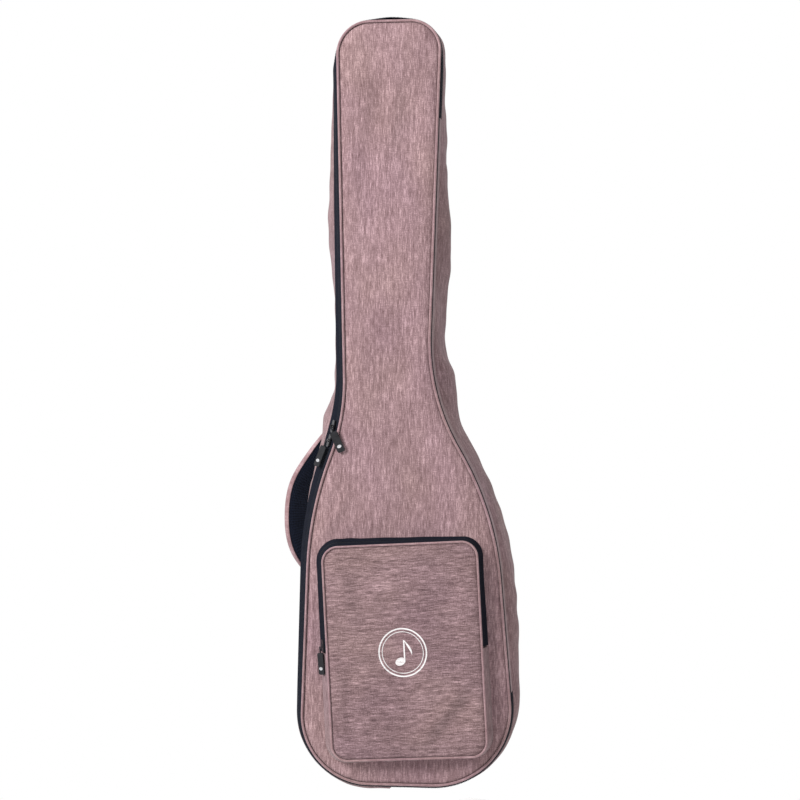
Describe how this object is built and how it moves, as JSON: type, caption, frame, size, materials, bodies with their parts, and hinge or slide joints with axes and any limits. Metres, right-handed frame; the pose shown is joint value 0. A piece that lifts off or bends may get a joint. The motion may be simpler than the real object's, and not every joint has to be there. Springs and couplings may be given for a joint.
{
  "type": "instrument gig bag",
  "caption": "Soft padded case for a bass guitar: long head and neck, wide body, zipped lid, front pocket, padded shoulder straps and a carry handle.",
  "frame": {"origin": "inside top of the hang loop behind the head, where a hook carries the bag", "axes": "+Z along the bag from base to head, +Y from the front panel towards the back, +X to the right seen from the front"},
  "size_m": [0.3811, 0.1647, 1.2121],
  "materials": {
    "heather_fabric": "heather woven polyester, two-tone rose yarns",
    "piping": "bias-cut fabric over a cord",
    "foam": "closed-cell foam",
    "lining": "black brushed nylon",
    "zip_tape": "woven navy-black tape",
    "zip_coil": "nylon coil",
    "slider_metal": "black enamelled zinc",
    "pull_rubber": "matt moulded rubber",
    "pull_dot": "satin",
    "air_mesh": "open spacer mesh",
    "strap_binding": "rolled fabric edge",
    "webbing": "ribbed nylon webbing",
    "handle_grip": "matt padded wrap",
    "buckle_plastic": "moulded acetal"
  },
  "bodies": {
    "shell": {"back_panel_outer": "heather_fabric", "back_panel_foam": "foam", "back_panel_lining": "lining", "back_piping": "piping", "gusset_left": "heather_fabric", "gusset_head": "heather_fabric", "gusset_base": "heather_fabric", "gusset_spine": "heather_fabric", "zip_rear_tape": "zip_tape", "zip_rear_coil": "zip_coil", "strap_anchor_tabs": "heather_fabric", "strap_yoke": "heather_fabric", "handle_anchor_patches": "webbing", "carry_handle_webbing": "webbing", "carry_handle_grip": "handle_grip", "hang_loop": "webbing", "hang_loop_patch": "webbing", "neck_cradle": "lining", "end_pad": "lining"},
    "lid": {"front_panel_outer": "heather_fabric", "front_panel_foam": "foam", "front_panel_lining": "lining", "front_piping": "piping", "zip_front_tape": "zip_tape", "zip_front_coil": "zip_coil", "spine_front_strip": "heather_fabric", "pocket_front_lower": "heather_fabric", "pocket_piping_lower": "piping", "pocket_gusset": "heather_fabric", "pocket_zip_rear_tape": "zip_tape", "pocket_zip_rear_coil": "zip_coil"},
    "pocket_flap": {"pocket_front_upper": "heather_fabric", "pocket_piping_upper": "piping", "pocket_zip_front_tape": "zip_tape", "pocket_zip_front_coil": "zip_coil"},
    "upper_slider": {"upper_slider": "slider_metal"},
    "upper_pull": {"upper_pull_tab": "pull_rubber", "upper_pull_dot": "pull_dot"},
    "lower_slider": {"lower_slider": "slider_metal"},
    "lower_pull": {"lower_pull_tab": "pull_rubber", "lower_pull_dot": "pull_dot"},
    "pocket_slider": {"pocket_slider": "slider_metal"},
    "pocket_pull": {"pocket_pull_tab": "pull_rubber", "pocket_pull_dot": "pull_dot"},
    "left_strap": {"left_strap_outer": "heather_fabric", "left_strap_foam": "foam", "left_strap_mesh": "air_mesh", "left_strap_binding": "strap_binding", "left_strap_buckle": "buckle_plastic", "left_strap_webbing": "webbing"},
    "right_strap": {"right_strap_outer": "heather_fabric", "right_strap_foam": "foam", "right_strap_mesh": "air_mesh", "right_strap_binding": "strap_binding", "right_strap_buckle": "buckle_plastic", "right_strap_webbing": "webbing"}
  },
  "joints": [
    {"name": "lid_hinge", "type": "hinge", "parent": "shell", "child": "lid", "pos_m": [0.2086, -0.08645, -1.085], "axis": [-0.1074, 0, 0.9942], "range_deg": [0, 110]},
    {"name": "pocket_flap_hinge", "type": "hinge", "parent": "lid", "child": "pocket_flap", "pos_m": [0.028, -0.1293, -0.966], "axis": [0.9986, 0, 0.0523], "range_deg": [0, 150]},
    {"name": "upper_slider_travel", "type": "slide", "parent": "shell", "child": "upper_slider", "axis": [-0.0075, 0, 1], "range_m": [0, 0.565]},
    {"name": "upper_pull_swing", "type": "hinge", "parent": "upper_slider", "child": "upper_pull", "pos_m": [-0.09035, -0.10499, -0.6192], "axis": [0, -1, 0], "range_deg": [0, 110]},
    {"name": "lower_slider_travel", "type": "hinge", "parent": "shell", "child": "lower_slider", "pos_m": [0.6941, -0.08645, -0.9628], "axis": [0, -1, 0], "range_deg": [0, 30]},
    {"name": "lower_pull_swing", "type": "hinge", "parent": "lower_slider", "child": "lower_pull", "pos_m": [-0.09925, -0.08899, -0.64115], "axis": [0, 1, 0], "range_deg": [0, 120]},
    {"name": "pocket_slider_travel", "type": "slide", "parent": "lid", "child": "pocket_slider", "axis": [-0.0523, 0, 0.9986], "range_m": [0, 0.118]},
    {"name": "pocket_pull_swing", "type": "hinge", "parent": "pocket_slider", "child": "pocket_pull", "pos_m": [-0.10547, -0.11483, -0.96098], "axis": [0, 1, 0], "range_deg": [0, 120]},
    {"name": "left_strap_swing", "type": "hinge", "parent": "shell", "child": "left_strap", "pos_m": [-0.013, 0.002, -0.48], "axis": [-0.0628, 0, -0.998], "range_deg": [0, 90]},
    {"name": "right_strap_swing", "type": "hinge", "parent": "shell", "child": "right_strap", "pos_m": [0.013, 0.002, -0.48], "axis": [-0.0628, 0, 0.998], "range_deg": [0, 90]}
  ]
}
